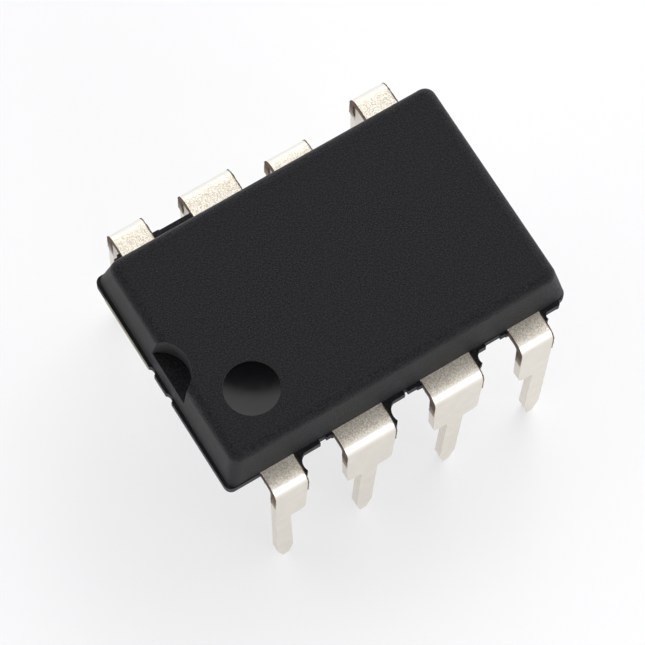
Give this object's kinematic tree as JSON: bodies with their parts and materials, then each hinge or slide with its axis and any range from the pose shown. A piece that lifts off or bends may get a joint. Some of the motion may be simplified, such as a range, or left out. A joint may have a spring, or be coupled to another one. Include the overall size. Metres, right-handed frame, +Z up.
{
  "type": "dip integrated circuit chip",
  "caption": "Integrated circuit in a dual in-line package: black moulded epoxy body with an end notch and a corner dimple, and two rows of bent tin-plated leads.",
  "frame": {"origin": "middle of the package, in the plane of the lead tips, which it stands on", "axes": "+Z up out of the marked face, +X along the body away from the notched end, leads 1 to 4 in the row at -Y"},
  "size_m": [0.0099, 0.008, 0.0067],
  "materials": {
    "moulded_epoxy": "matt black moulding compound",
    "tinned_leads": "matt tin plating over copper alloy",
    "leadframe_alloy": "bare copper alloy",
    "die_attach": "silver-filled glue",
    "silicon": "polished silicon",
    "gold_wire": "bare gold"
  },
  "bodies": {
    "root": {"body": "moulded_epoxy", "lead_1": "tinned_leads", "lead_2": "tinned_leads", "lead_3": "tinned_leads", "lead_4": "tinned_leads", "lead_5": "tinned_leads", "lead_6": "tinned_leads", "lead_7": "tinned_leads", "lead_8": "tinned_leads", "die_paddle": "leadframe_alloy", "die_attach": "die_attach", "die": "silicon", "bond_wire_1": "gold_wire", "bond_wire_2": "gold_wire", "bond_wire_3": "gold_wire", "bond_wire_4": "gold_wire", "bond_wire_5": "gold_wire", "bond_wire_6": "gold_wire", "bond_wire_7": "gold_wire", "bond_wire_8": "gold_wire"}
  },
  "joints": []
}
